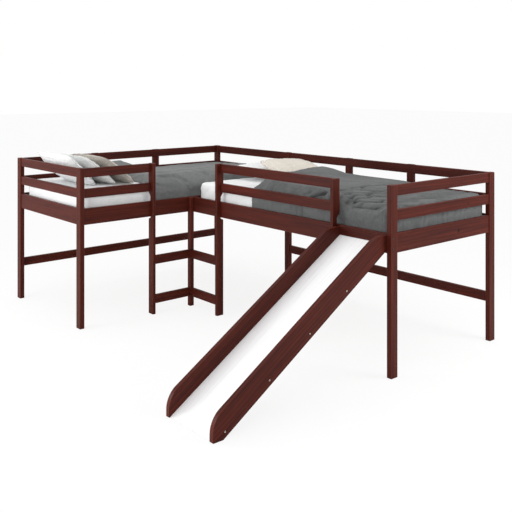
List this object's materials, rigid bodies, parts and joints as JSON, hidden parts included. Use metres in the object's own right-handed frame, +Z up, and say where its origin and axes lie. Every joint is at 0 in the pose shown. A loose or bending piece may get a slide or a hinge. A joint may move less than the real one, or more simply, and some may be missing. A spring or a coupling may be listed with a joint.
{
  "type": "corner loft bed with slide",
  "caption": "L-shaped low loft bed in dark stained wood: twin beds at a right angle with guard rails, a corner ladder, a straight slide with a white bed, and made-up bedding.",
  "frame": {"origin": "on the floor, under the middle of the bounding box (the slide's nose to the inner end, the slide bed's outer end to the back)", "axes": "+X along the corner bed from its pillow end to the corner, which is also square to the slide bed's long side and away from the slide; +Y along the slide bed from its outer end to the corner; +Z up"},
  "size_m": [2.3252, 3.044, 1.1843],
  "materials": {
    "stained_wood": "dark red-brown stain under satin lacquer",
    "slat_wood": "plain planed pine",
    "white_laminate": "white melamine laminate on board, satin",
    "white_cotton": "white woven cotton",
    "pale_grey_cotton": "pale grey woven cotton",
    "beige_cotton": "beige woven cotton",
    "cream_cotton": "cream woven cotton",
    "grey_cotton": "mid grey woven cotton, matt"
  },
  "bodies": {
    "frame": {"corner_bed_back_bed_rail": "stained_wood", "corner_bed_back_cleat": "stained_wood", "corner_bed_back_middle_rail": "stained_wood", "corner_bed_back_stretcher": "stained_wood", "corner_bed_back_top_rail": "stained_wood", "corner_bed_back_upright_1": "stained_wood", "corner_bed_back_upright_2": "stained_wood", "corner_bed_front_bed_rail": "stained_wood", "corner_bed_front_cleat": "stained_wood", "corner_bed_guard_middle_rail": "stained_wood", "corner_bed_guard_top_rail": "stained_wood", "corner_bed_inner_back_post": "stained_wood", "corner_bed_inner_end_bed_rail": "stained_wood", "corner_bed_inner_end_middle_rail": "stained_wood", "corner_bed_inner_end_top_rail": "stained_wood", "corner_bed_outer_back_post": "stained_wood", "corner_bed_outer_end_bed_rail": "stained_wood", "corner_bed_outer_end_middle_rail": "stained_wood", "corner_bed_outer_end_top_rail": "stained_wood", "corner_bed_outer_front_post": "stained_wood", "corner_bed_slats": "slat_wood", "ladder_corner_bed_high_rung": "stained_wood", "ladder_corner_bed_low_rung": "stained_wood", "ladder_corner_bed_post": "stained_wood", "ladder_inner_corner_post": "stained_wood", "ladder_slide_bed_high_rung": "stained_wood", "ladder_slide_bed_low_rung": "stained_wood", "ladder_slide_bed_post": "stained_wood", "shared_corner_post": "stained_wood", "slide_bed_back_bed_rail": "stained_wood", "slide_bed_back_cleat": "stained_wood", "slide_bed_back_middle_rail": "stained_wood", "slide_bed_back_post": "stained_wood", "slide_bed_back_stretcher": "stained_wood", "slide_bed_back_top_rail": "stained_wood", "slide_bed_back_upright_1": "stained_wood", "slide_bed_back_upright_2": "stained_wood", "slide_bed_end_bed_rail": "stained_wood", "slide_bed_end_middle_rail": "stained_wood", "slide_bed_end_top_rail": "stained_wood", "slide_bed_front_bed_rail": "stained_wood", "slide_bed_front_cleat": "stained_wood", "slide_bed_front_post": "stained_wood", "slide_bed_guard_middle_rail": "stained_wood", "slide_bed_guard_top_rail": "stained_wood", "slide_bed_slats": "slat_wood", "slide_board": "white_laminate", "slide_guard_post": "stained_wood", "slide_left_side": "stained_wood", "slide_right_side": "stained_wood", "slide_underframe": "stained_wood"},
    "corner_bed_bedding": {"corner_bed_beige_pillow": "beige_cotton", "corner_bed_duvet": "grey_cotton", "corner_bed_mattress": "white_cotton", "corner_bed_pale_pillow": "pale_grey_cotton", "corner_bed_white_pillow": "white_cotton"},
    "slide_bed_bedding": {"slide_bed_cream_pillow": "cream_cotton", "slide_bed_duvet": "grey_cotton", "slide_bed_mattress": "white_cotton", "slide_bed_white_pillow": "white_cotton"}
  },
  "joints": [
    {"name": "corner_bed_bedding_lift", "type": "slide", "parent": "frame", "child": "corner_bed_bedding", "axis": [0, 0, 1], "range_m": [0, 0.36]},
    {"name": "slide_bed_bedding_lift", "type": "slide", "parent": "frame", "child": "slide_bed_bedding", "axis": [0, 0, 1], "range_m": [0, 0.36]}
  ]
}
